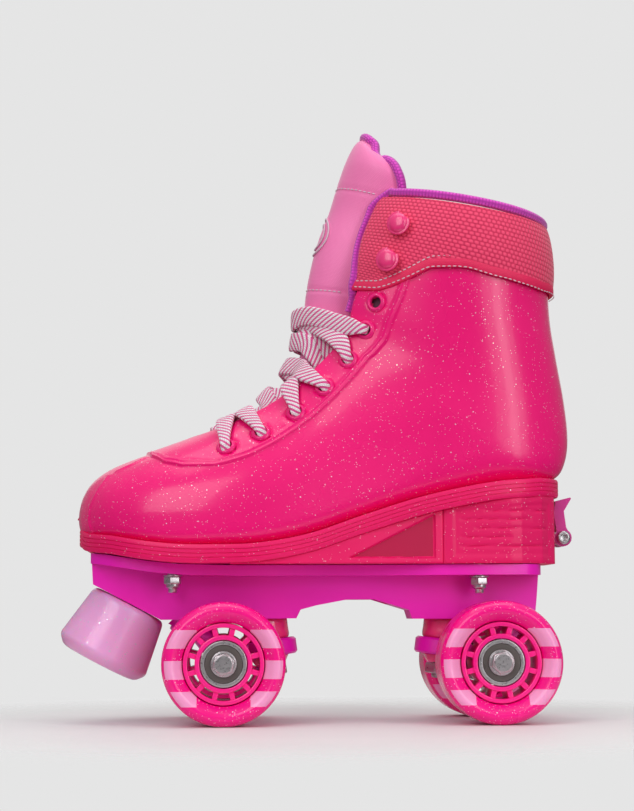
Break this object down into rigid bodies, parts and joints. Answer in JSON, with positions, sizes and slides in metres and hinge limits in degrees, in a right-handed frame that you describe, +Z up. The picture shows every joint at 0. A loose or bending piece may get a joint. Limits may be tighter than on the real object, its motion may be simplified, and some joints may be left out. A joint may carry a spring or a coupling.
{
  "type": "quad roller skate",
  "caption": "Left-foot quad roller skate: laced ankle boot with a size-adjusting heel, on a plate with a toe stop, steering trucks and free-spinning wheels.",
  "frame": {"origin": "on the ground, under the centre of the whole skate's box", "axes": "+X towards the heel, -Y towards the wearer's left (outer) side, +Z up"},
  "size_m": [0.2512, 0.113, 0.2905],
  "materials": {
    "boot_plastic": "glossy, with fine silver glitter",
    "sole": "satin",
    "lining": "knitted",
    "cuff_weave": "dotted weave",
    "piping": "knitted",
    "tongue_satin": "satin",
    "lace": "striped braid",
    "hook_plastic": "glossy",
    "steel": "bright",
    "lever_plastic": "satin",
    "plate_nylon": "fine-grained",
    "stop_rubber": "translucent, with glitter",
    "hanger_metal": "satin",
    "cushion": "translucent",
    "urethane": "glossy, with glitter",
    "core_plastic": "satin"
  },
  "bodies": {
    "boot_and_plate": {"boot_shell": "boot_plastic", "outsole": "sole", "heel_block": "sole", "liner": "lining", "collar": "cuff_weave", "collar_piping": "piping", "tongue": "tongue_satin", "lace": "lace", "footbed": "lining", "lever_pin": "steel", "clamp_rod": "steel", "base_plate": "plate_nylon", "toe_stop": "stop_rubber", "toe_stop_bolt": "steel", "hook_outer_1": "hook_plastic", "hook_outer_2": "hook_plastic", "hook_inner_1": "hook_plastic", "hook_inner_2": "hook_plastic", "mount_bolt_front_outer": "steel", "mount_bolt_front_inner": "steel", "mount_bolt_rear_outer": "steel", "mount_bolt_rear_inner": "steel", "front_kingpin_bolt": "steel", "front_kingpin_nut": "steel", "front_cushion_upper": "cushion", "front_cushion_lower": "cushion", "front_pivot_cup": "lining", "rear_kingpin_bolt": "steel", "rear_kingpin_nut": "steel", "rear_cushion_upper": "cushion", "rear_cushion_lower": "cushion", "rear_pivot_cup": "lining"},
    "heel_slide": {"heel_carriage": "steel", "heel_cup": "lining"},
    "lever": {"adjust_lever": "lever_plastic"},
    "front_truck": {"front_hanger": "hanger_metal", "front_axle": "steel", "front_outer_wheel_axle_nut": "steel", "front_inner_wheel_axle_nut": "steel"},
    "front_outer_wheel": {"front_outer_wheel_tyre": "urethane", "front_outer_wheel_core": "core_plastic", "front_outer_wheel_bearing_outer": "steel", "front_outer_wheel_bearing_inner": "steel"},
    "front_inner_wheel": {"front_inner_wheel_tyre": "urethane", "front_inner_wheel_core": "core_plastic", "front_inner_wheel_bearing_outer": "steel", "front_inner_wheel_bearing_inner": "steel"},
    "rear_truck": {"rear_hanger": "hanger_metal", "rear_axle": "steel", "rear_outer_wheel_axle_nut": "steel", "rear_inner_wheel_axle_nut": "steel"},
    "rear_outer_wheel": {"rear_outer_wheel_tyre": "urethane", "rear_outer_wheel_core": "core_plastic", "rear_outer_wheel_bearing_outer": "steel", "rear_outer_wheel_bearing_inner": "steel"},
    "rear_inner_wheel": {"rear_inner_wheel_tyre": "urethane", "rear_inner_wheel_core": "core_plastic", "rear_inner_wheel_bearing_outer": "steel", "rear_inner_wheel_bearing_inner": "steel"}
  },
  "joints": [
    {"name": "heel_size_slide", "type": "slide", "parent": "boot_and_plate", "child": "heel_slide", "axis": [-1, 0, 0], "range_m": [0, 0.024]},
    {"name": "size_lever", "type": "hinge", "parent": "boot_and_plate", "child": "lever", "pos_m": [0.1219, 0, 0.0888], "axis": [0, 1, 0], "range_deg": [0, 100]},
    {"name": "front_steer", "type": "hinge", "parent": "boot_and_plate", "child": "front_truck", "pos_m": [-0.0606, 0, 0.0475], "axis": [0.9524, 0, -0.3048], "range_deg": [-6, 6], "stiffness_Nm_per_rad": 8, "deforming": ["front_cushion_upper", "front_cushion_lower"]},
    {"name": "front_outer_wheel_spin", "type": "hinge", "parent": "front_truck", "child": "front_outer_wheel", "pos_m": [-0.0451, -0.039, 0.029], "axis": [0, 1, 0], "continuous": true},
    {"name": "front_inner_wheel_spin", "type": "hinge", "parent": "front_truck", "child": "front_inner_wheel", "pos_m": [-0.0451, 0.039, 0.029], "axis": [0, 1, 0], "continuous": true},
    {"name": "rear_steer", "type": "hinge", "parent": "boot_and_plate", "child": "rear_truck", "pos_m": [0.1004, 0, 0.0475], "axis": [-0.9524, 0, -0.3048], "range_deg": [-6, 6], "stiffness_Nm_per_rad": 8, "deforming": ["rear_cushion_upper", "rear_cushion_lower"]},
    {"name": "rear_outer_wheel_spin", "type": "hinge", "parent": "rear_truck", "child": "rear_outer_wheel", "pos_m": [0.0849, -0.039, 0.029], "axis": [0, 1, 0], "continuous": true},
    {"name": "rear_inner_wheel_spin", "type": "hinge", "parent": "rear_truck", "child": "rear_inner_wheel", "pos_m": [0.0849, 0.039, 0.029], "axis": [0, 1, 0], "continuous": true}
  ]
}
